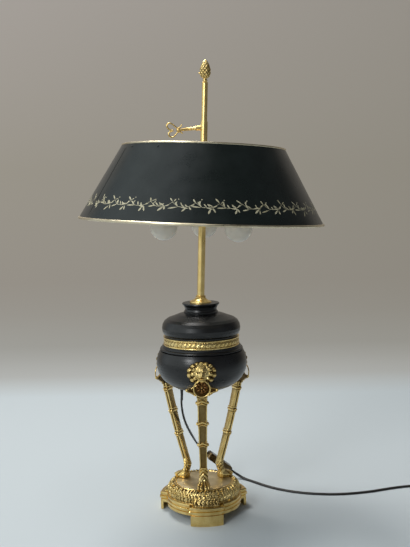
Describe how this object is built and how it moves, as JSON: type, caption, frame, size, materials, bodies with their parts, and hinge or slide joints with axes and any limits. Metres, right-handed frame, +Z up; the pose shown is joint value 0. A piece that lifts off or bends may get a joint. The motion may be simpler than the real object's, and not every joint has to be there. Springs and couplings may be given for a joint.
{
  "type": "bouillotte lamp",
  "caption": "Three-legged gilt and black table lamp: an urn on lion-paw legs carries a rod with downward bulbs and a painted metal shade that slides and is clamped by a key screw.",
  "frame": {"origin": "on the table under the centre of the base", "axes": "+Z up, front leg and front lion mask towards -Y, key screw towards -X"},
  "size_m": [0.6928, 0.4241, 0.7587],
  "materials": {
    "gilt_bronze": "polished gilding over cast relief",
    "gilt_brushed": "brushed, duller gilding",
    "polished_brass": "polished",
    "dark_rosette": "dark brown patina",
    "black_patina": "black satin patina",
    "shade_paint": "black-green satin paint with a painted garland, white inside",
    "rim_gilt": "gilt rolled rim",
    "steel": "plain",
    "bulb_glass": "clear",
    "bulb_metal": "plain",
    "porcelain": "glazed",
    "switch_gold": "gold-coloured plastic",
    "black_plastic": "matte",
    "flex_black": "flat twin flex"
  },
  "bodies": {
    "stand": {"base_plinth": "gilt_bronze", "base_platform": "gilt_brushed", "plinth_screws": "steel", "leg_screws": "steel", "leg_front": "gilt_bronze", "leg_right": "gilt_bronze", "leg_left": "gilt_bronze", "mask_front": "gilt_bronze", "mask_right": "gilt_bronze", "mask_left": "gilt_bronze", "ring_eyes": "gilt_bronze", "rosette_screws": "dark_rosette", "mask_screws": "steel", "urn_bowl": "black_patina", "urn_band": "gilt_bronze", "urn_cover": "black_patina", "tie_tube": "steel", "tie_washer": "polished_brass", "tie_nut": "polished_brass", "cord_bushing": "black_plastic", "collar": "polished_brass", "stem_tube": "polished_brass", "cluster_body": "polished_brass", "cluster_cap": "polished_brass", "arm_front_right": "polished_brass", "arm_back": "polished_brass", "arm_front_left": "polished_brass", "socket_front_right": "polished_brass", "socket_back": "polished_brass", "socket_front_left": "polished_brass", "socket_cores": "porcelain", "bulb_front_right": "bulb_glass", "bulb_back": "bulb_glass", "bulb_front_left": "bulb_glass", "bulb_caps": "bulb_metal", "upper_rod": "polished_brass", "switch_base": "switch_gold", "switch_cover": "switch_gold", "switch_screws": "steel", "cord_upper": "flex_black", "cord_lower": "flex_black", "cord_coil": "flex_black", "coil_tie": "black_plastic", "plug_body": "black_plastic", "plug_pins": "steel"},
    "carrier": {"sleeve": "polished_brass", "shade_seat": "polished_brass"},
    "shade": {"spider": "polished_brass", "spider_rivets": "polished_brass", "shade_cone": "shade_paint", "shade_top_rim": "rim_gilt", "shade_low_rim": "rim_gilt"},
    "key": {"key_screw": "polished_brass"},
    "finial": {"finial": "gilt_bronze"},
    "ring_front": {"ring_front": "polished_brass"},
    "ring_right": {"ring_right": "polished_brass"},
    "ring_left": {"ring_left": "polished_brass"},
    "rocker": {"switch_rocker": "black_plastic"}
  },
  "joints": [
    {"name": "shade_height", "type": "slide", "parent": "stand", "child": "carrier", "axis": [0.0366, 0, 0.9993], "range_m": [-0.0155, 0.0615]},
    {"name": "shade_turn", "type": "hinge", "parent": "carrier", "child": "shade", "pos_m": [0.00882, 0, 0.60404], "axis": [0.0489, 0, 0.9988], "continuous": true},
    {"name": "key_turn", "type": "hinge", "parent": "carrier", "child": "key", "pos_m": [0.00151, 0, 0.64854], "axis": [-0.9963, 0, -0.0854], "range_deg": [0, 360]},
    {"name": "finial_turn", "type": "hinge", "parent": "stand", "child": "finial", "pos_m": [0.01332, 0, 0.72676], "axis": [0.0366, 0, 0.9993], "range_deg": [0, 720]},
    {"name": "ring_front_swing", "type": "hinge", "parent": "stand", "child": "ring_front", "pos_m": [0, -0.086, 0.2451], "axis": [-1, 0, 0], "range_deg": [-12, 90]},
    {"name": "ring_right_swing", "type": "hinge", "parent": "stand", "child": "ring_right", "pos_m": [0.07448, 0.043, 0.2451], "axis": [0.5, -0.866, 0], "range_deg": [-12, 90]},
    {"name": "ring_left_swing", "type": "hinge", "parent": "stand", "child": "ring_left", "pos_m": [-0.07448, 0.043, 0.2451], "axis": [0.5, 0.866, 0], "range_deg": [-12, 90]},
    {"name": "switch_rock", "type": "hinge", "parent": "stand", "child": "rocker", "pos_m": [0.02961, 0.14467, 0.03609], "axis": [-0.194, 0.981, 0], "range_deg": [-16, 0]}
  ]
}
